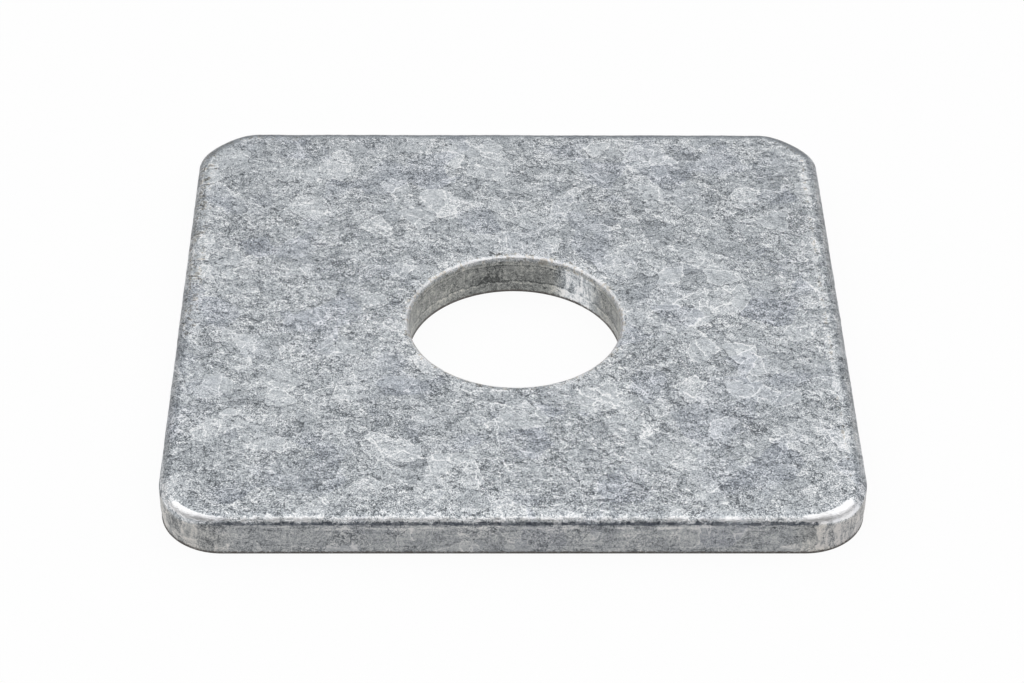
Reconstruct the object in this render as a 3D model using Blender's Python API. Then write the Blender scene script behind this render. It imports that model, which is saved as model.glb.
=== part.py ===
"""Square plate washer, hot-dip galvanised steel.

One flat plate with rounded corners, blanked from sheet, with one round hole
punched through it for a bolt. It is a single piece of metal.

All lengths are in metres. The plate lies flat, with its origin at the middle
of its underside. +Z is up, and -Y is the side that faces the viewer.
"""

import math

import bmesh
import bpy

# Plate outline and thickness
PLATE_WIDTH = 0.0500
PLATE_DEPTH = 0.0480
PLATE_THICKNESS = 0.0034
CORNER_RADIUS = 0.0046

# Punched hole, which sits a little forward and to the right of the middle
HOLE_DIAMETER = 0.0160
HOLE_OFFSET_X = 0.0003
HOLE_OFFSET_Y = -0.0014

# Top edge of the plate, which the die drew down as it blanked the outline
EDGE_ROLL_WIDTH = 0.00075
EDGE_ROLL_DEPTH = 0.00075
EDGE_TEAR_HEIGHT = 0.0012
EDGE_TEAR_LEAN = 0.00008
EDGE_BREAK = 0.00012

# Extra roll at a corner, where the metal is drawn down from two sides
CORNER_EXTRA_ROLL_WIDTH = 0.00045
CORNER_EXTRA_ROLL_DEPTH = 0.00045

# Rim of the hole, which the punch drew down
RIM_ROLL_WIDTH = 0.00035
RIM_ROLL_DEPTH = 0.00030
RIM_TEAR_HEIGHT = 0.0010
RIM_TEAR_LEAN = 0.00005
RIM_BREAK = 0.00010

# Fineness of the mesh
CORNER_STEPS = 12
STRAIGHT_STEPS = 8
EDGE_ROLL_STEPS = 6
RIM_ROLL_STEPS = 3
BREAK_STEPS = 2
SHARP_ANGLE = math.radians(35)

# Zinc coat
ZINC_COLOUR = "A9AFB4"
ZINC_METALLIC = 0.9
ZINC_ROUGHNESS = 0.48


class EdgeSection:
    """The section of a sheared edge, from the top face down to the underside.

    From the top it has a quarter of an ellipse that the tool drew down, a
    straight land, a torn part that leans back into the metal, and a small
    rounded break at the underside.
    """

    def __init__(self, roll_width, roll_depth, tear_height, tear_lean, edge_break, roll_steps):
        self.roll_width = roll_width
        self.roll_depth = roll_depth
        self.tear_height = tear_height
        self.tear_lean = tear_lean
        self.edge_break = edge_break
        self.roll_steps = roll_steps

    def stations(self, extra_width=0.0, extra_depth=0.0):
        """Return (distance into the metal, height) for each ring of the edge."""
        width = self.roll_width + extra_width
        depth = self.roll_depth + extra_depth
        points = []
        for step in range(self.roll_steps + 1):
            angle = math.pi / 2 * step / self.roll_steps
            inset = width * (1 - math.sin(angle))
            points.append((inset, PLATE_THICKNESS - depth * (1 - math.cos(angle))))
        points.append((0.0, self.tear_height))
        for step in range(BREAK_STEPS + 1):
            angle = math.pi / 2 * step / BREAK_STEPS
            inset = self.tear_lean + self.edge_break * (1 - math.cos(angle))
            points.append((inset, self.edge_break * (1 - math.sin(angle))))
        return points


def outline_points():
    """Walk round the plate's outline and return (x, y, outward x, outward y, cornerness).

    Cornerness is 0 on the straight runs and rises to 1 in the middle of each
    rounded corner.
    """
    half_width = PLATE_WIDTH / 2 - CORNER_RADIUS
    half_depth = PLATE_DEPTH / 2 - CORNER_RADIUS
    centres = [(half_width, half_depth), (-half_width, half_depth),
               (-half_width, -half_depth), (half_width, -half_depth)]
    points = []
    for quarter, (centre_x, centre_y) in enumerate(centres):
        for step in range(CORNER_STEPS + 1):
            share = step / CORNER_STEPS
            angle = math.pi / 2 * (quarter + share)
            out_x, out_y = math.cos(angle), math.sin(angle)
            x = centre_x + CORNER_RADIUS * out_x
            y = centre_y + CORNER_RADIUS * out_y
            points.append((x, y, out_x, out_y, math.sin(math.pi * share) ** 2))
        points.extend(straight_points(points[-1], centres[(quarter + 1) % 4]))
    return points


def straight_points(start, next_centre):
    """Return the points between a corner's end and the start of the next corner."""
    start_x, start_y, out_x, out_y, _ = start
    end_x = next_centre[0] + CORNER_RADIUS * out_x
    end_y = next_centre[1] + CORNER_RADIUS * out_y
    points = []
    for step in range(1, STRAIGHT_STEPS):
        share = step / STRAIGHT_STEPS
        x = start_x + (end_x - start_x) * share
        y = start_y + (end_y - start_y) * share
        points.append((x, y, out_x, out_y, 0.0))
    return points


def hole_points(count):
    """Walk round the hole. Its edge faces the hole's axis, so outward is inward here."""
    radius = HOLE_DIAMETER / 2
    points = []
    for step in range(count):
        angle = 2 * math.pi * step / count
        to_x, to_y = math.cos(angle), math.sin(angle)
        x = HOLE_OFFSET_X + radius * to_x
        y = HOLE_OFFSET_Y + radius * to_y
        points.append((x, y, -to_x, -to_y, 0.0))
    return points


def add_ring(solid, points):
    """Add one closed ring of edges and return its edges."""
    verts = [solid.verts.new(point) for point in points]
    return [solid.edges.new((verts[i - 1], verts[i])) for i in range(len(verts))]


def loft_edge(solid, walk, section):
    """Loft a sheared edge along a walk, and return its top and bottom rings."""
    columns = []
    for x, y, out_x, out_y, cornerness in walk:
        extra_width = CORNER_EXTRA_ROLL_WIDTH * cornerness
        extra_depth = CORNER_EXTRA_ROLL_DEPTH * cornerness
        stations = section.stations(extra_width, extra_depth)
        columns.append([(x - out_x * inset, y - out_y * inset, z) for inset, z in stations])
    rings = [add_ring(solid, ring) for ring in zip(*columns)]
    for upper, lower in zip(rings, rings[1:]):
        bmesh.ops.bridge_loops(solid, edges=upper + lower)
    return rings[0], rings[-1]


def zinc_material():
    """Dull grey zinc, as it comes out of the galvanising bath."""
    channels = [int(ZINC_COLOUR[i:i + 2], 16) / 255 for i in (0, 2, 4)]
    linear = [((c + 0.055) / 1.055) ** 2.4 for c in channels]
    material = bpy.data.materials.new("galvanised_zinc")
    material.use_nodes = True
    shader = material.node_tree.nodes["Principled BSDF"]
    shader.inputs["Base Color"].default_value = (*linear, 1.0)
    shader.inputs["Metallic"].default_value = ZINC_METALLIC
    shader.inputs["Roughness"].default_value = ZINC_ROUGHNESS
    return material


def build_plate_washer():
    """Loft the outer edge and the hole's edge, then close the two faces between them."""
    outer_edge = EdgeSection(EDGE_ROLL_WIDTH, EDGE_ROLL_DEPTH, EDGE_TEAR_HEIGHT,
                             EDGE_TEAR_LEAN, EDGE_BREAK, EDGE_ROLL_STEPS)
    hole_edge = EdgeSection(RIM_ROLL_WIDTH, RIM_ROLL_DEPTH, RIM_TEAR_HEIGHT,
                            RIM_TEAR_LEAN, RIM_BREAK, RIM_ROLL_STEPS)
    solid = bmesh.new()
    outline = outline_points()
    outer_top, outer_bottom = loft_edge(solid, outline, outer_edge)
    hole_top, hole_bottom = loft_edge(solid, hole_points(len(outline)), hole_edge)
    for face_edges in (outer_top + hole_top, outer_bottom + hole_bottom):
        bmesh.ops.triangle_fill(solid, edges=face_edges, use_beauty=True)
    bmesh.ops.recalc_face_normals(solid, faces=solid.faces)

    mesh = bpy.data.meshes.new("plate_washer")
    solid.to_mesh(mesh)
    solid.free()
    mesh.shade_smooth()
    mesh.set_sharp_from_angle(angle=SHARP_ANGLE)
    mesh.materials.append(zinc_material())
    washer = bpy.data.objects.new("plate_washer", mesh)
    bpy.context.scene.collection.objects.link(washer)
    return washer


def clear_scene():
    for item in list(bpy.data.objects):
        bpy.data.objects.remove(item, do_unlink=True)


clear_scene()
build_plate_washer()
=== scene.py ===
# %% [markdown]
# A square plate washer, hot-dip galvanised
#
# A plate washer spreads a bolt's load over timber or a slotted channel. It is
# blanked out of sheet steel, punched once, and then dipped in molten zinc. This
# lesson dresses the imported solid: it keeps the solid's form and gives it the
# zinc skin, with the lumps that the zinc leaves along the rolled edges.

import math

import bmesh
import bpy
import numpy as np
from mathutils import Matrix, Vector


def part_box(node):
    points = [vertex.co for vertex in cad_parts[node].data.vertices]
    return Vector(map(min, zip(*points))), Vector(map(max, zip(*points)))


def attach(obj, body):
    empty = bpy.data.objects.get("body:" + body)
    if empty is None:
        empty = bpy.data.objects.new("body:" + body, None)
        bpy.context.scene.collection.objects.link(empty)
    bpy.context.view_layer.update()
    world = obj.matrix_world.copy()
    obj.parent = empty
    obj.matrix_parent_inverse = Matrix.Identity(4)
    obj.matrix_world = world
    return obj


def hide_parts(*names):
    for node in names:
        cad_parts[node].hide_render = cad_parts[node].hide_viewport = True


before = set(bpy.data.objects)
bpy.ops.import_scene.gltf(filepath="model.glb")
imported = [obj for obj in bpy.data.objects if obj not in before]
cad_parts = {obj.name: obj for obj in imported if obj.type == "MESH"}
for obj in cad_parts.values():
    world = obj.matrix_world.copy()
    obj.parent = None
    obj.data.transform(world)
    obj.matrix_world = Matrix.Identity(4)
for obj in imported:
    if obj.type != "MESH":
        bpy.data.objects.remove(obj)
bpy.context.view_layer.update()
MM = 0.001
low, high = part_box("plate_washer")
WIDTH, DEPTH, THICKNESS = high - low
print("plate:", [round(side / MM, 2) for side in (WIDTH, DEPTH, THICKNESS)], "mm")

# %% [markdown]
# The camera
#
# The photo looks down at the plate from the front, with a long lens. The angles
# below came from matching the plate's outline and its hole in the photo. Yaw and
# roll are small: the plate was laid almost square to the camera.

# %% Set the camera
CAMERA_ELEVATION = 37.83
CAMERA_YAW = 0.98
CAMERA_ROLL = -0.65
CAMERA_DISTANCE = 225.8 * MM
CAMERA_ACROSS = 0.12 * MM
CAMERA_UP = 0.17 * MM
LENS_MM = 103.9
SENSOR_MM = 36


def turn(degrees, axis):
    return Matrix.Rotation(math.radians(degrees), 4, axis)


camera_data = bpy.data.cameras.new("photo_camera")
camera_data.lens = LENS_MM
camera_data.sensor_width = SENSOR_MM
camera_data.clip_start = 1 * MM
camera = bpy.data.objects.new("photo_camera", camera_data)
bpy.context.scene.collection.objects.link(camera)
view = turn(-CAMERA_YAW, "Z") @ turn(90 - CAMERA_ELEVATION, "X") @ turn(-CAMERA_ROLL, "Z")
camera.matrix_world = view @ Matrix.Translation((CAMERA_ACROSS, CAMERA_UP, CAMERA_DISTANCE))
bpy.context.scene.camera = camera
print("camera at", [round(value / MM, 1) for value in camera.matrix_world.translation], "mm")

# %% [markdown]
# Picking by place
#
# Blender's operators act on whatever is selected. These helpers select one piece,
# or those of its edges whose two ends lie in the right place, as a modeller would
# pick them by hand. A test on places still holds when the numbering of the edges
# changes, which a list of edge numbers would not.

# %% Modelling helpers
CLOSE = 0.01 * MM


def deselect_all():
    if bpy.context.object and bpy.context.object.mode != "OBJECT":
        bpy.ops.object.mode_set(mode="OBJECT")
    bpy.ops.object.select_all(action="DESELECT")


def make_active(piece):
    deselect_all()
    piece.select_set(True)
    bpy.context.view_layer.objects.active = piece


def apply_place(piece):
    make_active(piece)
    bpy.ops.object.transform_apply(location=True, rotation=True, scale=True)


def edit_edges(piece, wanted):
    """Enter edit mode with only the edges selected whose two ends pass the test."""
    make_active(piece)
    bpy.ops.object.mode_set(mode="EDIT")
    bpy.ops.mesh.select_mode(type="EDGE")
    bpy.ops.mesh.select_all(action="DESELECT")
    net = bmesh.from_edit_mesh(piece.data)
    count = 0
    for edge in net.edges:
        if wanted(edge.verts[0].co, edge.verts[1].co):
            edge.select_set(True)
            count += 1
    bmesh.update_edit_mesh(piece.data)
    return count


def close(a, b):
    return abs(a - b) < CLOSE


deselect_all()
print("selected at the start:", len(bpy.context.selected_objects))

# %% [markdown]
# The blank
#
# On the real washer a die shears the outline out of the sheet in one stroke. A
# cube at the plate's size stands for the sheet, and an edge bevel on its four
# upright edges gives the die's rounded corners. A rounded outline could also be
# drawn as a curve and extruded, but a bevel keeps the radius as one number.

# %% Blank the plate
CORNER_RADIUS = 4.6 * MM
NET_STEP = 0.13 * MM

middle = Vector((0, 0, THICKNESS / 2))
bpy.ops.mesh.primitive_cube_add(size=1, location=middle, scale=(WIDTH, DEPTH, THICKNESS))
zinc_plate = bpy.context.object
zinc_plate.name = "zinc_plate"
apply_place(zinc_plate)
upright = edit_edges(zinc_plate, lambda a, b: close(a.x, b.x) and close(a.y, b.y))
corner_segments = round(math.pi / 2 * CORNER_RADIUS / NET_STEP)
bpy.ops.mesh.bevel(offset=CORNER_RADIUS, segments=corner_segments, affect="EDGES")
bpy.ops.object.mode_set(mode="OBJECT")
print("upright edges rounded:", upright, "with", corner_segments, "segments each")

# %% [markdown]
# The rolled edge
#
# The die drags the top edge down before it cuts, so the edge is a soft round
# roll with the straight cut land below it. The roll is largest at the corners,
# where the metal is dragged from two sides. A Bevel modifier makes it, because
# its width can follow a weight on each edge, and the weight is highest in the
# middle of a corner. An edit mode bevel has only one width for all.

# %% Roll the top edge
ROLL_RADIUS = 0.75 * MM
CORNER_ROLL_RADIUS = 1.20 * MM
ROLL_SEGMENTS = 12


def cornerness(x, y):
    """0 along a straight side, 1 in the middle of a rounded corner."""
    past_x = abs(x) - (WIDTH / 2 - CORNER_RADIUS)
    past_y = abs(y) - (DEPTH / 2 - CORNER_RADIUS)
    if past_x <= 0 or past_y <= 0:
        return 0.0
    return math.sin(2 * math.atan2(past_y, past_x)) ** 2


def add_modifier(piece, kind, **settings):
    """Add a modifier, set it up and apply it."""
    make_active(piece)
    modifier = piece.modifiers.new(kind.lower(), kind)
    for name, value in settings.items():
        setattr(modifier, name, value)
    bpy.ops.object.modifier_apply(modifier=modifier.name)


mesh = zinc_plate.data
weights = mesh.attributes.new("bevel_weight_edge", "FLOAT", "EDGE")
for edge in mesh.edges:
    start, end = (mesh.vertices[i].co for i in edge.vertices)
    if close(start.z, THICKNESS) and close(end.z, THICKNESS):
        centre = (start + end) / 2
        roll = ROLL_RADIUS + (CORNER_ROLL_RADIUS - ROLL_RADIUS) * cornerness(centre.x, centre.y)
        weights.data[edge.index].value = roll / CORNER_ROLL_RADIUS
add_modifier(zinc_plate, "BEVEL", width=CORNER_ROLL_RADIUS, segments=ROLL_SEGMENTS,
             limit_method="WEIGHT", use_clamp_overlap=False)
mesh.attributes.remove(mesh.attributes["bevel_weight_edge"])
print("faces with the rolled edge:", len(mesh.polygons))

# %% [markdown]
# The punched hole
#
# A round punch makes the hole, and like the die it drags its rim down a little.
# A Boolean with a cylinder is the closest thing to a punch. Its rim and the two
# lower edges then get small bevels, because zinc never leaves an edge sharp.

# %% Punch the hole
HOLE_RADIUS = 8.0 * MM
HOLE_CENTRE = Vector((0.3 * MM, -1.4 * MM, 0))

deselect_all()
hole_sides = round(2 * math.pi * HOLE_RADIUS / NET_STEP)
bpy.ops.mesh.primitive_cylinder_add(vertices=hole_sides, radius=HOLE_RADIUS, depth=2 * THICKNESS,
                                    location=HOLE_CENTRE + middle)
punch = bpy.context.object
apply_place(punch)
add_modifier(zinc_plate, "BOOLEAN", operation="DIFFERENCE", object=punch, solver="EXACT")
bpy.data.objects.remove(punch, do_unlink=True)
print("sides of the hole:", hole_sides)

# %% Soften the hole's rim and the lower edges
RIM_ROLL = 0.32 * MM
RIM_SEGMENTS = 4
LOWER_BREAK = 0.12 * MM
BREAK_SEGMENTS = 2


def from_hole(point):
    """Distance from the hole's wall, outwards into the plate."""
    return math.hypot(point.x - HOLE_CENTRE.x, point.y - HOLE_CENTRE.y) - HOLE_RADIUS


def on_rim(a, b):
    level = close(a.z, THICKNESS) and close(b.z, THICKNESS)
    return level and close(from_hole(a), 0) and close(from_hole(b), 0)


def on_lower_edge(a, b):
    """True on the outline and the hole's edge, and false on lines across the underside."""
    across_underside = close(from_hole(a), 0) != close(from_hole(b), 0)
    return close(a.z, 0) and close(b.z, 0) and not across_underside


rim_edges = edit_edges(zinc_plate, on_rim)
bpy.ops.mesh.bevel(offset=RIM_ROLL, segments=RIM_SEGMENTS, affect="EDGES")
lower_edges = edit_edges(zinc_plate, on_lower_edge)
bpy.ops.mesh.bevel(offset=LOWER_BREAK, segments=BREAK_SEGMENTS, affect="EDGES")
bpy.ops.object.mode_set(mode="OBJECT")
print("rim edges:", rim_edges, "lower edges:", lower_edges)

# %% [markdown]
# A fine net along the edges
#
# The zinc lies in lumps along the edges, so those need small faces, while the
# flat faces don't. A few insets carry the net a little way into the top face,
# from the outline and from the hole. Rings cut across the walls and the long
# sides keep its steps under a fifth of a millimetre there. A voxel remesh would
# be quicker, but it leaves the sharp lower edges stepped.

# %% Carry the net into the top face
BORDER_RINGS = 8
BORDER_STEP = 0.22 * MM
LARGE_FACE = 100 * MM ** 2
FACING_UP = 0.99

edit_edges(zinc_plate, lambda a, b: False)
bpy.ops.mesh.select_mode(type="FACE")
net = bmesh.from_edit_mesh(zinc_plate.data)
for face in net.faces:
    if face.normal.z > FACING_UP and face.calc_area() > LARGE_FACE:
        face.select_set(True)
bmesh.update_edit_mesh(zinc_plate.data)
for _ in range(BORDER_RINGS):
    bpy.ops.mesh.inset(thickness=BORDER_STEP)
bpy.ops.object.mode_set(mode="OBJECT")
print("faces with the insets:", len(zinc_plate.data.polygons))

# %% Cut rings across the walls and the sides
WALL_RINGS = 14
WALL_EDGE = 1 * MM
SIDE_EDGE = 20 * MM
SIDE_BORDER = 4 * MM


def is_upright(a, b):
    return close(a.x, b.x) and close(a.y, b.y) and abs(a.z - b.z) > WALL_EDGE


def is_long_side(start, end, out_start, out_end):
    """True for a long edge near one side, given its ends' places along and across that side."""
    near_side = min(out_start, out_end) > DEPTH / 2 - SIDE_BORDER
    return near_side and abs(start - end) > SIDE_EDGE


def cut_rings(piece, wanted, cuts):
    edges = edit_edges(piece, wanted)
    bpy.ops.mesh.subdivide_edgering(number_cuts=cuts, interpolation="LINEAR")
    bpy.ops.object.mode_set(mode="OBJECT")
    print("cut", cuts, "times across", edges, "edges, faces now:", len(piece.data.polygons))


cut_rings(zinc_plate, lambda a, b: is_upright(a, b) and close(from_hole(a), 0), WALL_RINGS)
cut_rings(zinc_plate, lambda a, b: is_upright(a, b) and from_hole(a) > WALL_EDGE, WALL_RINGS)
long_cuts = round((WIDTH - 2 * CORNER_RADIUS) / NET_STEP)
short_cuts = round((DEPTH - 2 * CORNER_RADIUS) / NET_STEP)
for sign in (1, -1):
    cut_rings(zinc_plate, lambda a, b: is_long_side(a.x, b.x, a.y * sign, b.y * sign), long_cuts)
    cut_rings(zinc_plate, lambda a, b: is_long_side(a.y, b.y, a.x * sign, b.x * sign), short_cuts)
mesh = zinc_plate.data
mesh.calc_loop_triangles()
print("net:", len(mesh.vertices), "points,", len(mesh.loop_triangles), "triangles")

# %% [markdown]
# Where the zinc behaves differently
#
# Zinc drains off the edges as the plate leaves the bath, so it lies in beads on
# the rolled edge, and it is duller on the cut walls. Each point of the net gets
# numbers that say how near it is to such a place. Some guide the lumps, and the
# paint reads them as attributes. Worked out here once, they fit both, and they
# stay on the zinc when the washer moves. First come the distances, in millimetres.

# %% Measure the distances
def smooth_step(value, start, end):
    """Rise smoothly from 0 at the start value to 1 at the end value."""
    share = np.clip((value - start) / (end - start), 0, 1)
    return share * share * (3 - 2 * share)


def fall(value, start, end):
    """Stay at 1 up to the start value and sink smoothly to 0 at the end value."""
    return 1 - smooth_step(value, start, end)


def band(value, rise_start, rise_end, fall_start, fall_end):
    """Rise to 1 between the first two values and fall back to 0 between the last two."""
    return smooth_step(value, rise_start, rise_end) * fall(value, fall_start, fall_end)


points = np.empty(len(mesh.vertices) * 3, np.float32)
mesh.vertices.foreach_get("co", points)
x, y, height = points.reshape(-1, 3).T / MM
drop = THICKNESS / MM - height
past_x = np.abs(x) - (WIDTH / 2 - CORNER_RADIUS) / MM
past_y = np.abs(y) - (DEPTH / 2 - CORNER_RADIUS) / MM
beyond = np.hypot(np.maximum(past_x, 0), np.maximum(past_y, 0))
inside = CORNER_RADIUS / MM - beyond - np.minimum(np.maximum(past_x, past_y), 0)
across_hole = x - HOLE_CENTRE.x / MM
outside_hole = np.hypot(across_hole, y - HOLE_CENTRE.y / MM) - HOLE_RADIUS / MM
print("furthest inside the outline:", round(float(inside.max()), 2), "mm")

# %% [markdown]
# The roll and the walls
#
# The roll grows towards the middle of a corner, so heights on it are counted as
# shares of the roll there. The underside has no net of its own, so the walls'
# numbers are 0 on its border, or their looks would spread over it.

# %% Number the roll and the walls
UNDERSIDE_MM = 0.01

into_corner = np.minimum(past_x, past_y)
straight = fall(into_corner, -1.5, 0.8)
corner = 1 - straight
facing = np.arctan2(np.maximum(past_y, 0), np.maximum(past_x, 0))
extra_roll = (CORNER_ROLL_RADIUS - ROLL_RADIUS) / MM * np.sin(2 * facing) ** 2
roll_here = ROLL_RADIUS / MM + extra_roll
down_roll = drop / roll_here
near_edge = fall(inside - roll_here, -0.1, 0.7)
near_top = fall(drop - roll_here, -0.25, 0.0)
off_underside = height > UNDERSIDE_MM
on_outer_wall = fall(inside, 0.08, 0.22) * off_underside
on_hole_wall = fall(outside_hole, 0.06, 0.2) * off_underside
on_walls = np.maximum(on_outer_wall, on_hole_wall)
places = {
    "rolled_edge": near_edge * near_top,
    "outer_wall": on_outer_wall * smooth_step(drop - roll_here, -0.25, 0.0),
    "hole_wall": on_hole_wall * smooth_step(drop, 0.2, 0.45),
    "flaky_land": on_outer_wall * band(down_roll, 1.04, 1.2, 1.33, 1.67) * straight,
    "shaded_lower_border": on_walls * smooth_step(drop, 3.05, 3.3),
}
print("roll radius from", round(float(roll_here.min()), 2), "to", round(float(roll_here.max()), 2), "mm")

# %% [markdown]
# The front edge and the corners
#
# A painted highlight runs along the front roll as a line of light, with a dark foot
# of painted shade under it where the roll meets the land. On each front corner the
# painted highlight widens into a white blob. The two blobs differ in the photo, so
# each has its own limits.

# %% Number the front edge and the corners
LEFT_CORNER_SHARE = 0.7

on_right = x > 0
at_front = smooth_step(-y, 15, 22)
front_bead = near_edge * near_top * at_front * straight
before_corner = fall(into_corner, 0.0, 2.4)
blob_start = np.where(on_right, 0.05, 0.13)
blob_end = np.where(on_right, 0.78, 0.54)
blob = band(down_roll, blob_start, blob_start + 0.10, blob_end, blob_end + 0.14)
from_side = np.degrees(facing)
blob *= smooth_step(from_side, 24, 42)
blob *= np.where(on_right, 1, 1 - 0.6 * smooth_step(from_side, 68, 88))
corner_wall = on_outer_wall * (1 - near_top) * corner
places.update({
    "corner_highlight": smooth_step(corner, 0.3, 0.9) * (y < 0) * blob,
    "shade_behind_bead": fall(inside, 1.4, 2.4) * fall(drop, 0.04, 0.12) * at_front * straight,
    "front_highlight_line": near_edge * band(down_roll, 0.14, 0.27, 0.46, 0.66) * at_front * before_corner,
    "shaded_roll_foot": fall(inside, 0.3, 0.5) * band(down_roll, 0.40, 0.86, 0.91, 1.06) * before_corner,
    "corner_wall": corner_wall * np.where(on_right, 1, LEFT_CORNER_SHARE),
    "lit_corner_wall": corner_wall * on_right * (y < 0),
})
print("points on the white blobs:", int((places["corner_highlight"] > 0.5).sum()))

# %% [markdown]
# The sides and the back
#
# Across the left and right edges the roll is painted with light and shade: dark at
# the outline and darker towards the face, with a painted highlight band between
# them on the right. Painted highlights lie in dashes on the face beside it. At the
# back the roll is painted darker, as shade, and on the left the face has a border
# with warm specks.

# %% Number the sides and the back
GLINT_SHADE = 0.16
OUTLINE_SHADE = -0.27
INNER_ROLL_SHADE = -0.16
LEFT_DASH_SHARE = 0.5

along_side = smooth_step(np.abs(x), 21, 22) * fall(-y, 19, 22)
# Painted light and shade across the side rolls: a dark outline, a painted highlight band on the right,
# and a darker inner band.
side_shades = GLINT_SHADE * band(inside, 0.20, 0.32, 0.36, 0.50) * on_right
side_shades += OUTLINE_SHADE * fall(inside, 0.15, 0.32)
side_shades += INNER_ROLL_SHADE * band(inside, 0.45, 0.66, 0.80, 0.93)
dashes = band(inside, 0.9, 1.02, 1.35, 1.65) * np.where(on_right, 1, LEFT_DASH_SHARE)
left_and_back = smooth_step(-x, 12, 18) * smooth_step(y, -16, 0)
places.update({
    "side_shades": side_shades * near_top * along_side,
    "side_glint_dashes": dashes * along_side,
    "shaded_back_roll": fall(inside - roll_here, 0.0, 0.38) * near_top * smooth_step(y, 19, 21),
    "edge_border": fall(inside, 1.0, 3.2) * near_top * left_and_back,
})
print("side shades from", round(float(side_shades.min()), 2), "to", round(float(side_shades.max()), 2))

# %% [markdown]
# The hole
#
# The rim's roll shows a painted highlight line. On the wall behind it the middle is
# painted darker and the right part painted lighter, as shade and light, because
# they face other parts of the room. A dark patch lies half way down the wall, and a
# painted highlight streak lower, where it tore.

# %% Number the hole and keep all the numbers on the net
below_rim = drop > 0.4
from_middle = np.abs(across_hole + 0.5)
from_patch = np.hypot(across_hole + 2.1, (height - 1.3) * 2)
streak = band(across_hole, 2.4, 3.4, 4.8, 5.6) * band(drop, 2.3, 2.6, 3.0, 3.2)
places.update({
    "hole_rim": fall(outside_hole, 0.3, 1.6) * near_top,
    "rim_highlight_line": fall(outside_hole, 0.15, 0.3) * band(drop, 0.0, 0.03, 0.12, 0.3),
    "hole_middle": on_hole_wall * below_rim * fall(from_middle, 2.5, 5.5),
    "hole_right": on_hole_wall * below_rim * band(across_hole, 2.8, 4.4, 5.4, 7.0),
    "hole_patch": on_hole_wall * fall(from_patch, 0.6, 1.7),
    "hole_highlight_streak": on_hole_wall * streak,
})
for name, values in places.items():
    attribute = mesh.attributes.new(name, "FLOAT", "POINT")
    attribute.data.foreach_set("value", values.astype(np.float32))
    print(name, "runs from", round(float(values.min()), 2), "to", round(float(values.max()), 2))

# %% [markdown]
# Lumps of zinc
#
# Zinc runs to the edges and freezes there in beads, and on the walls it lies in
# flakes. A Displace modifier moves the points along their normals by a cloud
# pattern, and a vertex group limits it to where the zinc is lumpy. Lumps of
# several sizes lie over each other. The lower part of the walls, where the metal
# tore, is first drawn back by up to 0.08 mm. The lumps are a few hundredths of a
# millimetre high, so the plate keeps its size.

# %% Helpers for the lumps
LEAST_WEIGHT = 0.01


def add_group(piece, name, values):
    """Make a vertex group from the points' numbers, without the points that hardly count."""
    group = piece.vertex_groups.new(name=name)
    for index in np.flatnonzero(values > LEAST_WEIGHT):
        group.add([int(index)], float(values[index]), "REPLACE")
    return group.name


def add_lumps(piece, group, size_mm, height_mm, seed_mm):
    """Displace the points of a group by clouds of this size and full height."""
    clouds = bpy.data.textures.new(group + "_clouds", "CLOUDS")
    clouds.noise_scale = size_mm * MM
    clouds.noise_depth = 2
    guide = bpy.data.objects.new("clouds_place", None)
    guide.location = (seed_mm * MM, 0, 0)
    bpy.context.scene.collection.objects.link(guide)
    add_modifier(piece, "DISPLACE", texture=clouds, texture_coords="OBJECT", texture_coords_object=guide,
                 strength=height_mm * MM, mid_level=0.5, vertex_group=group)
    bpy.data.objects.remove(guide, do_unlink=True)
    bpy.data.textures.remove(clouds)


edge_group = add_group(zinc_plate, "rolled_edge", places["rolled_edge"] * (1 - 0.7 * corner))
bead_group = add_group(zinc_plate, "front_bead", front_bead)
rim_group = add_group(zinc_plate, "hole_rim", fall(outside_hole, 0.4, 1.4) * (drop < 0.5))
print("groups:", edge_group, bead_group, rim_group)

# %% Raise the lumps
TORN_HEIGHT_MM = 1.2
TORN_LEAN = 0.08 * MM

above_floor = height > LOWER_BREAK / 2 / MM
walls = np.maximum(places["outer_wall"], places["hole_wall"])
wall_group = add_group(zinc_plate, "walls", walls * above_floor)
torn_group = add_group(zinc_plate, "torn", on_walls * fall(height, 0.0, TORN_HEIGHT_MM) * above_floor)
add_modifier(zinc_plate, "DISPLACE", strength=-TORN_LEAN, mid_level=0, vertex_group=torn_group)
for group, size_mm, height_mm, seed_mm in (
    (edge_group, 2.4, 0.07, 11), (edge_group, 0.5, 0.04, 19),
    (bead_group, 0.75, 0.11, 23), (bead_group, 0.34, 0.05, 37),
    (rim_group, 0.6, 0.03, 41), (wall_group, 1.6, 0.06, 53),
):
    add_lumps(zinc_plate, group, size_mm, height_mm, seed_mm)
zinc_plate.vertex_groups.clear()
make_active(zinc_plate)
bpy.ops.object.shade_smooth()
mesh = zinc_plate.data
heights = [vertex.co.z / MM for vertex in mesh.vertices]
print("lowest and highest point:", round(min(heights), 3), round(max(heights), 3), "mm")

# %% [markdown]
# Hot-dip galvanised zinc
#
# Molten zinc freezes on the steel in crystals called spangle. Dipped washers
# cool slowly, so the crystals are dull and overlap like scales, a few
# millimetres wide, each a slightly different grey or blue. Over them lies a
# grain of fine curls, under half a millimetre, which catches the light. A
# photographed texture would give all this at once, but it would stretch over the
# walls. Patterns on the washer's own coordinates run through them like the zinc.

# %% Helpers for the paint
def linear_colour(hex_code):
    """Turn an sRGB hex colour into the linear values that Blender's sockets hold."""
    channels = [int(hex_code[i:i + 2], 16) / 255 for i in (0, 2, 4)]
    linear = [c / 12.92 if c <= 0.04045 else ((c + 0.055) / 1.055) ** 2.4 for c in channels]
    return (*linear, 1.0)


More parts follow.
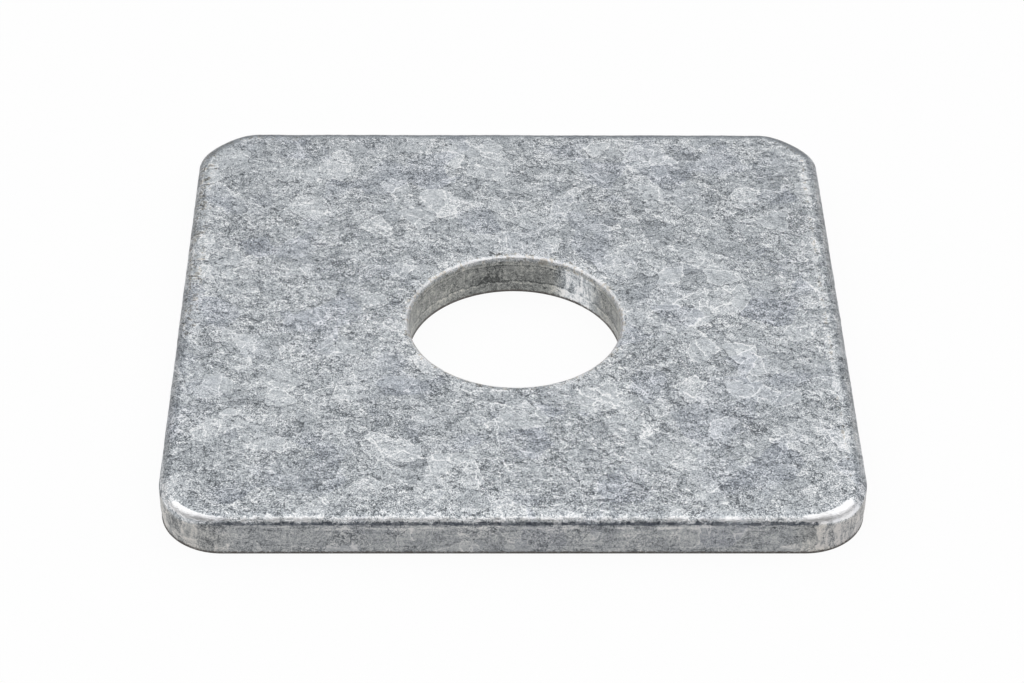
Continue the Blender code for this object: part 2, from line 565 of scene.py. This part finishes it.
def add_node(tree, kind, inputs=None, **settings):
    """Add a node, set its own properties, and give its sockets a value or a link each."""
    node = tree.nodes.new(kind)
    for name, value in settings.items():
        setattr(node, name, value)
    for socket, value in (inputs or {}).items():
        if isinstance(value, bpy.types.NodeSocket):
            tree.links.new(value, node.inputs[socket])
        else:
            node.inputs[socket].default_value = value
    return node


def per_mm(size_mm):
    """A pattern's scale for features of this size, on coordinates in millimetres."""
    return 1 / size_mm


galvanised = bpy.data.materials.new("hot_dip_galvanised_zinc")
galvanised.use_nodes = True
tree = galvanised.node_tree
tree.nodes.clear()
coordinates = add_node(tree, "ShaderNodeTexCoord")
place = add_node(tree, "ShaderNodeVectorMath", {0: coordinates.outputs["Object"], "Scale": 1 / MM},
                 operation="SCALE").outputs["Vector"]
at = {}
for name in places:
    at[name] = add_node(tree, "ShaderNodeAttribute", attribute_name=name).outputs["Fac"]
print("numbers that the paint reads:", len(at))

# %% [markdown]
# Laying patterns over each other
#
# All of the paint is sums: a base and a share of each pattern. A second step cuts
# a sum off softly between two values, which makes patches, seams and lines. These
# few steps, named for what they do to the zinc, keep the long sums readable.

# %% Lay patterns over each other
def lay_over(base, pattern, share, centre=0.0):
    """Add a pattern, which swings round its centre, to the base by this share."""
    swing = add_node(tree, "ShaderNodeMath", {0: pattern, 1: centre}, operation="SUBTRACT")
    return add_node(tree, "ShaderNodeMath", {0: swing.outputs[0], 1: share, 2: base},
                    operation="MULTIPLY_ADD").outputs[0]


def soft_patch(base, start, end, *patterns):
    """Lay patterns over a base, each with its share, and cut the sum off softly.

    The patch is 0 where the sum is at the start value and 1 where it is at the end value.
    """
    for pattern, share in patterns:
        base = lay_over(base, pattern, share)
    return add_node(tree, "ShaderNodeMapRange", {"Value": base, "From Min": start, "From Max": end},
                    interpolation_type="SMOOTHSTEP").outputs[0]


def strongest(*patterns):
    """The largest of several patterns at each point."""
    result = patterns[0]
    for pattern in patterns[1:]:
        result = add_node(tree, "ShaderNodeMath", {0: result, 1: pattern},
                          operation="MAXIMUM").outputs[0]
    return result


print("nodes so far:", len(tree.nodes))

# %% [markdown]
# Spangle
#
# A Voronoi pattern is how crystals grow: each point belongs to its nearest seed.
# Its straight borders are made ragged by shifting the coordinates with noise
# before the cells are looked up. Each cell gives one random colour, and its red,
# green and blue are three random numbers that set how that crystal looks. Four
# sizes lie over each other, because the real scales overlap. Comparing a cell with
# the one an eighth of a millimetre beside it gives a thin painted step along each
# border, light or dark as painted light and shade on the step.

# %% Spangle pattern
# Width of the crystals, reach of the ragged shift, and size of its noise, in millimetres
LARGE_SPANGLE = (3.0, 0.65, 0.8)
MIDDLE_SPANGLE = (1.9, 0.5, 0.6)
SMALL_SPANGLE = (1.0, 0.4, 0.35)
FLAKE = (0.5, 0.35, 0.3)


def ragged(reach_mm, size_mm):
    """Shift the place by noise, so that borders turn ragged."""
    noise = add_node(tree, "ShaderNodeTexNoise",
                     {"Vector": place, "Scale": per_mm(size_mm), "Detail": 2.0, "Roughness": 0.55})
    centred = add_node(tree, "ShaderNodeVectorMath", {0: noise.outputs["Color"], 1: (0.5, 0.5, 0.5)},
                       operation="SUBTRACT")
    shifted = add_node(tree, "ShaderNodeVectorMath",
                       {0: centred.outputs["Vector"], 1: (reach_mm,) * 3, 2: place},
                       operation="MULTIPLY_ADD")
    return shifted.outputs["Vector"]


def spangle(size_mm, reach_mm, ragged_mm):
    """Crystals of one size: three random numbers for each, and the distance to its border."""
    warped = ragged(reach_mm, ragged_mm)
    cells = add_node(tree, "ShaderNodeTexVoronoi", {"Vector": warped, "Scale": per_mm(size_mm)})
    border = add_node(tree, "ShaderNodeTexVoronoi", {"Vector": warped, "Scale": per_mm(size_mm)},
                      feature="DISTANCE_TO_EDGE")
    random = add_node(tree, "ShaderNodeSeparateColor", {"Color": cells.outputs["Color"]})
    distance_mm = lay_over(0.0, border.outputs["Distance"], size_mm)
    return random.outputs["Red"], random.outputs["Green"], random.outputs["Blue"], distance_mm


large_shade, large_blue, large_lift, large_border = spangle(*LARGE_SPANGLE)
middle_shade, middle_blue, middle_lift, middle_border = spangle(*MIDDLE_SPANGLE)
small_shade, small_blue, small_lift, _ = spangle(*SMALL_SPANGLE)
flake_shade, _, flake_lift, flake_border = spangle(*FLAKE)
print("nodes with the spangle:", len(tree.nodes))

# %% Painted steps between the crystals, and clouds over them
STEP_SHIFT_MM = (0.05, 0.11, 0.0)
CLOUD_MM = 6.0


def painted_step_lines(size_mm, reach_mm, ragged_mm):
    """Thin lines along the borders, painted light or shade on a step, by how the crystals beside them
    differ.
    """
    here = ragged(reach_mm, ragged_mm)
    beside = add_node(tree, "ShaderNodeVectorMath", {0: here, 1: STEP_SHIFT_MM}).outputs["Vector"]
    shades = []
    for where in (here, beside):
        cells = add_node(tree, "ShaderNodeTexVoronoi", {"Vector": where, "Scale": per_mm(size_mm)})
        random = add_node(tree, "ShaderNodeSeparateColor", {"Color": cells.outputs["Color"]})
        shades.append(random.outputs["Red"])
    return lay_over(shades[0], shades[1], -1.0)


flake_lines = painted_step_lines(*FLAKE)
small_lines = painted_step_lines(*SMALL_SPANGLE)
middle_lines = painted_step_lines(*MIDDLE_SPANGLE)
clouds = add_node(tree, "ShaderNodeTexNoise",
                  {"Vector": place, "Scale": per_mm(CLOUD_MM), "Detail": 3.0, "Roughness": 0.6})
clouds = clouds.outputs["Fac"]
print("nodes with the steps:", len(tree.nodes))

# %% [markdown]
# Light scales, dark scales and seams
#
# About one crystal in seven faces the light and is clearly paler, with a crisp
# outline, though only half as many of the largest are. About one in eight faces
# away and is darker. Where two crystals meet there is a fine seam, bright on some
# borders and dark on others.

# %% Light scales and seams
LIGHT_SHARE = 0.14
DARK_SHARE = 0.12
CRISPNESS = 0.01
SEAM_MM = 0.08
FLAKE_SEAM_MM = 0.06


def highest(number, share):
    """1 in the crystals whose random number is in this highest share, and 0 in the others."""
    return soft_patch(number, 1 - share, 1 - share + CRISPNESS)


light_scales = strongest(highest(large_lift, LIGHT_SHARE / 2), highest(middle_lift, LIGHT_SHARE))
light_small = highest(small_lift, LIGHT_SHARE)
dark_scales = strongest(highest(large_blue, DARK_SHARE), highest(middle_blue, DARK_SHARE))
dark_small = highest(small_blue, DARK_SHARE)
seams = strongest(soft_patch(middle_border, SEAM_MM, 0.0), soft_patch(large_border, SEAM_MM, 0.0))
seam_sign = lay_over(lay_over(-0.45, small_shade, 1.0), light_scales, 0.5)
seams = lay_over(0.0, seams, seam_sign)
flake_seams = lay_over(0.0, flake_lift, soft_patch(flake_border, FLAKE_SEAM_MM, 0.0), 0.6)
print("light crystals:", LIGHT_SHARE, "dark crystals:", DARK_SHARE)

# %% [markdown]
# Fine curls
#
# Each crystal is made of leaf-like plates, which show as short curled strokes,
# light on one side and dark on the other. A sine of a noise draws the noise's
# contour lines, and these curl in the same way. Multiplying the sine by the cube
# of its own size keeps its sign and thins the lines. On the real zinc the strokes
# go down to a hundredth of a millimetre. Here the curls are about a quarter of a
# millimetre apart and the grit a tenth, the finest that shows in the photo.

# %% Curl pattern
LONG_CURL_MM = 0.9
SHORT_CURL_MM = 0.45
LONG_CURL_TURNS = 24.0
SHORT_CURL_TURNS = 14.0
THINNING = 3.0
LEAF_MM = 0.32
GRIT_MM = 0.09
PIT_MM = 0.4


def fine_noise(size_mm, detail, distortion, vector=place):
    """The noise that a fine pattern of the zinc starts from, with lumps of this size."""
    noise = add_node(tree, "ShaderNodeTexNoise",
                     {"Vector": vector, "Scale": per_mm(size_mm), "Detail": detail, "Roughness": 0.55,
                      "Distortion": distortion})
    return noise.outputs["Fac"]


def contour_strokes(noise, turns):
    """Strokes along the contour lines of a noise, light and dark by turns."""
    wave = add_node(tree, "ShaderNodeMath", {0: lay_over(0.0, noise, turns)}, operation="SINE").outputs[0]
    size = add_node(tree, "ShaderNodeMath", {0: wave}, operation="ABSOLUTE").outputs[0]
    cube = add_node(tree, "ShaderNodeMath", {0: size, 1: THINNING}, operation="POWER").outputs[0]
    return lay_over(0.0, wave, cube)


def blotches(noise, start, end):
    """Blotches that swing from -0.5 to 0.5 as the noise goes from the start to the end value."""
    return lay_over(-0.5, soft_patch(noise, start, end), 1.0)


long_curls = contour_strokes(fine_noise(LONG_CURL_MM, 2.0, 1.2), LONG_CURL_TURNS)
short_curls = contour_strokes(fine_noise(SHORT_CURL_MM, 1.0, 1.0), SHORT_CURL_TURNS)
leaves = blotches(fine_noise(LEAF_MM, 2.0, 1.6), 0.36, 0.64)
grit = blotches(fine_noise(GRIT_MM, 1.0, 0.0, ragged(0.3, 0.3)), 0.3, 0.7)
pits = soft_patch(fine_noise(PIT_MM, 1.0, 0.5), 0.66, 0.72)
print("finest grain:", GRIT_MM, "mm")

# %% [markdown]
# Streaks on the walls
#
# On the straight walls the shear drew the metal down and the zinc drained
# sideways, so the zinc lies in flat streaks. Squeezing the coordinates makes a
# noise's blobs into streaks. At the corners they stand upright and wave. In the
# hole a groove and a ragged line run round the wall, where the cut turned to tear.

# %% Streak pattern
FLAT_STREAK = (0.16, 0.16, 1.0)
UPRIGHT_STREAK = (1.0, 1.0, 0.3)
FLAT_STREAK_MM = 0.34
UPRIGHT_STREAK_MM = 0.5
CLUSTER_MM = 0.7
GROOVE_WAVE_MM = 1.6
TORN_WAVE_MM = 0.6


def squeezed(shares):
    """The place with each axis shortened to its share, which draws a noise out along it."""
    return add_node(tree, "ShaderNodeVectorMath", {0: place, 1: shares},
                    operation="MULTIPLY").outputs["Vector"]


def line_at(level, line_mm, half_mm):
    """1 on a line at this height, fading to 0 half a line width above and below it."""
    away = add_node(tree, "ShaderNodeMath", {0: level, 1: line_mm}, operation="SUBTRACT").outputs[0]
    away = add_node(tree, "ShaderNodeMath", {0: away}, operation="ABSOLUTE").outputs[0]
    return soft_patch(away, half_mm, 0.0)


flat_streaks = blotches(fine_noise(FLAT_STREAK_MM, 3.0, 0.6, squeezed(FLAT_STREAK)), 0.34, 0.66)
upright_streaks = blotches(fine_noise(UPRIGHT_STREAK_MM, 2.0, 1.0, squeezed(UPRIGHT_STREAK)), 0.36, 0.64)
clusters = blotches(fine_noise(CLUSTER_MM, 2.0, 0.8), 0.34, 0.66)
above_base = add_node(tree, "ShaderNodeSeparateXYZ", {0: place}).outputs["Z"]
groove_level = lay_over(above_base, fine_noise(GROOVE_WAVE_MM, 2.0, 0.0), 0.5, 0.5)
torn_level = lay_over(above_base, fine_noise(TORN_WAVE_MM, 3.0, 0.5), 0.9, 0.5)
groove = lay_over(line_at(groove_level, 2.72, 0.1), line_at(groove_level, 2.58, 0.1), -1.0)
torn_line = lay_over(line_at(torn_level, 0.92, 0.14), line_at(torn_level, 1.1, 0.12), -1.0)
print("nodes with the streaks:", len(tree.nodes))

# %% [markdown]
# From patterns to a tone
#
# All the patterns add up to one number, the tone, which a colour ramp turns into
# greys. The shares are what each pattern adds: the grain of flakes, curls and grit
# swings most, and the large crystals less, as in the photo. The grain is stronger
# on some crystals than on others, and weakest on the light ones.

# %% Tone of the face
FACE_TONE = 0.47
GRAIN_STRENGTH = 0.76

grain = lay_over(0.0, flake_shade, 0.14, 0.5)
for pattern, share in ((flake_seams, 0.24), (flake_lines, 0.28), (long_curls, 0.08),
                       (short_curls, 0.16), (grit, 0.66)):
    grain = lay_over(grain, pattern, share)
grain_share = lay_over(lay_over(GRAIN_STRENGTH, middle_blue, 0.56), light_scales, -0.3)
tone = FACE_TONE
for pattern, share in ((large_shade, 0.08), (middle_shade, 0.12), (small_shade, 0.06), (clouds, 0.03)):
    tone = lay_over(tone, pattern, share, 0.5)
for pattern, share in ((light_scales, 0.12), (light_small, 0.08), (dark_scales, -0.04),
                       (dark_small, -0.04), (seams, 0.45), (small_lines, 0.22),
                       (middle_lines, 0.22), (grain, grain_share), (pits, -0.32)):
    tone = lay_over(tone, pattern, share)
print("nodes with the face's tone:", len(tree.nodes))

# %% [markdown]
# Tone of the edges
#
# The lamps alone spread the light differently along the rolls than the photo does,
# so the paint helps: a lighter line on the front roll, white blobs on the front
# corners, and darker rolls at the sides and the back. The numbers on the net say
# where, so all of it stays in its place when the washer is seen from elsewhere.

# %% Tone of the edges
BACK_ROLL_SHADE_TONE = 0.22
RIM_HIGHLIGHT_TONE = 1.1
HIGHLIGHT_BLOB_TONE = 1.05


def lay_where(base, where, pattern, share, lift=0.0):
    """Lay a pattern's share and a steady lift over the base, where a number says so."""
    return lay_over(base, where, lay_over(lift, pattern, share))


def draw_to(base, where, target, share):
    """Bring the base nearer to a target by this share, where a number says so."""
    return lay_over(base, where, lay_over(0.0, base, -share, target))


# Painted shade on the face just behind the front roll.
tone = lay_over(tone, at["shade_behind_bead"], -0.03)
# Painted highlights in dashes on the face beside the side rolls.
tone = lay_where(tone, at["side_glint_dashes"], clusters, 0.3, 0.15)
# Painted light and shade across the side rolls.
tone = lay_over(tone, at["side_shades"], 1.0)
# Painted shade: the back roll drawn to a dark tone.
tone = draw_to(tone, at["shaded_back_roll"], BACK_ROLL_SHADE_TONE, 0.75)
# Painted highlight: a lighter line along the front roll.
tone = lay_where(tone, at["front_highlight_line"], clusters, 0.4, 0.41)
# Painted highlight: a light line on the hole's rim.
tone = draw_to(tone, at["rim_highlight_line"], RIM_HIGHLIGHT_TONE, 0.7)
tone = lay_over(tone, at["hole_rim"], 0.08)
# Painted highlights: white blobs on the front corners.
blobs = soft_patch(at["corner_highlight"], 0.25, 0.7, (leaves, 0.3), (clusters, 0.35))
tone = draw_to(tone, blobs, HIGHLIGHT_BLOB_TONE, 0.9)
print("nodes with the edges' tone:", len(tree.nodes))

# %% [markdown]
# Tone of the walls and the hole
#
# The cut walls are duller than the face, so their tone is drawn to a middle grey
# before the streaks are laid over it.

# %% Tone of the walls and the hole
WALL_TONE = 0.48

tone = draw_to(tone, at["outer_wall"], WALL_TONE, 0.3)
tone = draw_to(tone, at["hole_wall"], WALL_TONE, 0.4)
tone = lay_where(tone, at["flaky_land"], flat_streaks, 0.35, 0.14)
tone = lay_where(tone, at["outer_wall"], flat_streaks, 0.16, 0.025)
tone = lay_where(tone, at["corner_wall"], upright_streaks, 0.55)
# Painted light on the front-right corner wall.
tone = lay_over(tone, at["lit_corner_wall"], 0.28)
tone = lay_where(tone, at["hole_wall"], upright_streaks, 0.14)
tone = lay_where(tone, at["hole_wall"], groove, 0.18)
tone = lay_where(tone, at["hole_wall"], torn_line, 0.26)
# Painted shade in the middle of the hole's wall, and painted light on its right part and in the streak
# below.
tone = lay_over(tone, at["hole_middle"], -0.12)
tone = lay_where(tone, at["hole_right"], upright_streaks, 0.4, 0.16)
tone = lay_where(tone, at["hole_patch"], leaves, 0.3, -0.26)
tone = lay_where(tone, at["hole_highlight_streak"], clusters, 0.5, 0.4)
print("nodes with the walls' tone:", len(tree.nodes))

# %% [markdown]
# Colour
#
# The greys are a little blue, as zinc is, and some crystals are bluer. The cut
# walls are warmer and browner, because less zinc lies on them, and the outer walls
# are also darker by a painted shade. At the foot of the roll and along the plate's
# lower edge, a slate-dark grey is painted shade. A few warm specks lie along the borders.

# %% Greys and tints
ZINC_GREYS = [
    (0.0, "5C6064"), (0.28, "8F9499"), (0.5, "B5BABF"), (0.72, "D4D8DB"), (1.0, "FAFAFB"),
]
BLUE_TINT = "F4F5F9"
WALL_TINT_AND_SHADE = "D6D4D2"
CORNER_TINT = "FFFCF7"
BORE_TINT = "D8D4CB"

greys = add_node(tree, "ShaderNodeValToRGB", {"Fac": tone})
greys.color_ramp.elements[0].position = ZINC_GREYS[0][0]
greys.color_ramp.elements[1].position = ZINC_GREYS[-1][0]
for position, _ in ZINC_GREYS[1:-1]:
    greys.color_ramp.elements.new(position)
for element, (_, hex_code) in zip(greys.color_ramp.elements, ZINC_GREYS):
    element.color = linear_colour(hex_code)


def tinted(base, share, hex_code, blend_type="MULTIPLY"):
    """Tint the base where the share says so, or with MIX lay the colour over it.

    Sockets 0, 6 and 7 of a colour Mix node are its factor and its two colours.
    """
    node = add_node(tree, "ShaderNodeMix", {0: share, 6: base, 7: linear_colour(hex_code)},
                    data_type="RGBA", blend_type=blend_type)
    return node.outputs[2]


blueness = lay_over(0.0, soft_patch(large_blue, 0.45, 0.95), soft_patch(clouds, 0.4, 0.6))
# The hole's right part, painted lighter, is left out of the bore tint.
bore_share = lay_over(0.0, at["hole_wall"], lay_over(1.0, at["hole_right"], -1.0))
colour = tinted(greys.outputs["Color"], blueness, BLUE_TINT)
# The outer walls' tint is warmer and browner, as their own colour, and darker, as painted shade.
colour = tinted(colour, at["outer_wall"], WALL_TINT_AND_SHADE)
colour = tinted(colour, at["corner_wall"], CORNER_TINT)
colour = tinted(colour, bore_share, BORE_TINT)
print("greys:", len(greys.color_ramp.elements))

# %% Specks, and painted shade at the foot and the lower edge
SPECK_TINT = "EBE5DC"
FOOT_SHADE_GREY = "4C5159"
LOWER_EDGE_SHADE_GREY = "625E5B"
SPECK_MM = 0.4

borders = strongest(at["edge_border"], at["hole_rim"], at["side_glint_dashes"])
specks = soft_patch(lay_over(0.0, borders, fine_noise(SPECK_MM, 2.0, 0.8)), 0.52, 0.62)
colour = tinted(colour, specks, SPECK_TINT)
# Painted shade: a slate-dark band at the foot of the front roll.
foot_shade = soft_patch(lay_over(0.0, at["shaded_roll_foot"], 1.4), 0.5, 1.1, (clusters, -0.8), (leaves, 0.3))
foot_shade = lay_over(0.0, foot_shade, lay_over(1.0, flake_shade, -0.35))
colour = tinted(colour, foot_shade, FOOT_SHADE_GREY, "MIX")
# Painted shade: a dark line along the plate's lower edge, where it meets the floor.
lower_edge_shade = soft_patch(at["shaded_lower_border"], 0.4, 1.0, (leaves, 0.5))
colour = tinted(colour, lower_edge_shade, LOWER_EDGE_SHADE_GREY, "MIX")
print("nodes with the colour:", len(tree.nodes))

# %% [markdown]
# Gloss and relief
#
# Dull zinc is still a metal, so it keeps the metal's default IOR. Its roughness
# is near 0.45 on the faces and lower on the rolled edge, where the zinc flowed
# smooth. The curls, leaves, grit and crystals also give the bump, of a few
# hundredths of a millimetre at most. It is weaker on the front corners' blobs,
# where the zinc is smoothest.

# %% Gloss, relief and output
ZINC_METALLIC = 0.9
FACE_ROUGHNESS = 0.44
EDGE_ROUGHNESS = 0.34
RELIEF = 0.014 * MM
CORNER_BUMP_LOSS = 0.6

relief = lay_over(0.5, middle_lift, 1.0, 0.5)
for pattern, share in ((long_curls, 0.4), (short_curls, 0.4), (leaves, 0.7), (grit, 0.4)):
    relief = lay_over(relief, pattern, share)
bump_strength = lay_over(1.0, at["corner_highlight"], -CORNER_BUMP_LOSS)
bump = add_node(tree, "ShaderNodeBump", {"Height": relief, "Strength": bump_strength, "Distance": RELIEF})
roughness = add_node(tree, "ShaderNodeMix",
                     {0: at["rolled_edge"], 2: FACE_ROUGHNESS, 3: EDGE_ROUGHNESS})
shader = add_node(tree, "ShaderNodeBsdfPrincipled",
                  {"Base Color": colour, "Metallic": ZINC_METALLIC, "Roughness": roughness.outputs[0],
                   "Normal": bump.outputs["Normal"]})
add_node(tree, "ShaderNodeOutputMaterial", {"Surface": shader.outputs["BSDF"]})
zinc_plate.data.materials.clear()
zinc_plate.data.materials.append(galvanised)
print("nodes in the zinc:", len(tree.nodes))

# %% [markdown]
# The floor
#
# The photo has a plain white ground. A large plane stands for it. What the camera
# and the metal's reflections see of it is lifted to white by a glow, which lights
# nothing else, while the rest of its shading keeps the washer's faint shadow.

# %% Floor
FLOOR_SIZE = 2.0
FLOOR_LIFT = 0.94
PAPER_WHITE = "F4F4F4"
PURE_WHITE = "FFFFFF"

deselect_all()
bpy.ops.mesh.primitive_plane_add(size=FLOOR_SIZE, location=(0, 0, 0))
floor = bpy.context.object
floor.name = "floor"
paper = bpy.data.materials.new("white_paper")
paper.use_nodes = True
paper_tree = paper.node_tree
paper_tree.nodes.clear()
rays = add_node(paper_tree, "ShaderNodeLightPath")
seen = rays.outputs["Is Camera Ray"]
for kind in ("Is Glossy Ray", "Is Transmission Ray"):
    either = add_node(paper_tree, "ShaderNodeMath", {0: seen, 1: rays.outputs[kind]}, operation="MAXIMUM")
    seen = either.outputs[0]
lift = add_node(paper_tree, "ShaderNodeMath", {0: seen, 1: FLOOR_LIFT}, operation="MULTIPLY")
dull = add_node(paper_tree, "ShaderNodeBsdfDiffuse", {"Color": linear_colour(PAPER_WHITE)})
glow = add_node(paper_tree, "ShaderNodeEmission", {"Color": linear_colour(PURE_WHITE), "Strength": 1.0})
both = add_node(paper_tree, "ShaderNodeMixShader",
                {0: lift.outputs[0], 1: dull.outputs[0], 2: glow.outputs[0]})
add_node(paper_tree, "ShaderNodeOutputMaterial", {"Surface": both.outputs[0]})
floor.data.materials.append(paper)
print("floor lifted to white by", FLOOR_LIFT)

# %% [markdown]
# The light
#
# The light is soft and comes from above on all sides, as from large softboxes. The
# one behind reaches from low over the horizon to overhead and lights the face. The
# one in front hangs high, so it shows only in the bright line on the rolled edge,
# which a painted highlight strengthens, and the side that faces the camera stays
# dimmer. Two small ones at the sides make the white blobs on the front corners,
# together with painted highlights there.

# %% Lamps and world
# Place and size in millimetres, and radiance
FRONT_LAMP = ((0, -170, 306), (460, 326), 1.2)
BACK_LAMP = ((0, 320, 441), (900, 790), 1.05)
LEFT_LAMP = ((-300, -10, 190), (300, 220), 1.4)
RIGHT_LAMP = ((300, -10, 190), (300, 220), 1.4)
WORLD_STRENGTH = 0.08


def add_softbox(name, place_mm, size_mm, radiance):
    """An area lamp that faces the washer. Its power follows from its size and radiance."""
    lamp = bpy.data.lights.new(name, "AREA")
    lamp.shape = "RECTANGLE"
    lamp.size = size_mm[0] * MM
    lamp.size_y = size_mm[1] * MM
    lamp.energy = radiance * lamp.size * lamp.size_y * math.pi
    holder = bpy.data.objects.new(name, lamp)
    bpy.context.scene.collection.objects.link(holder)
    holder.location = Vector(place_mm) * MM
    holder.rotation_euler = (-holder.location).to_track_quat("-Z", "Y").to_euler()
    print(name, "power:", round(lamp.energy, 3), "W")


add_softbox("front_softbox", *FRONT_LAMP)
add_softbox("back_softbox", *BACK_LAMP)
add_softbox("left_softbox", *LEFT_LAMP)
add_softbox("right_softbox", *RIGHT_LAMP)
world = bpy.data.worlds.new("studio")
bpy.context.scene.world = world
world.use_nodes = True
background = world.node_tree.nodes["Background"]
background.inputs["Color"].default_value = linear_colour(PURE_WHITE)
background.inputs["Strength"].default_value = WORLD_STRENGTH
bpy.context.scene.view_settings.view_transform = "Standard"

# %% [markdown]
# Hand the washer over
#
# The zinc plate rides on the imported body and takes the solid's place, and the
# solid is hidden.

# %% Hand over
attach(zinc_plate, "root")
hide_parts("plate_washer")
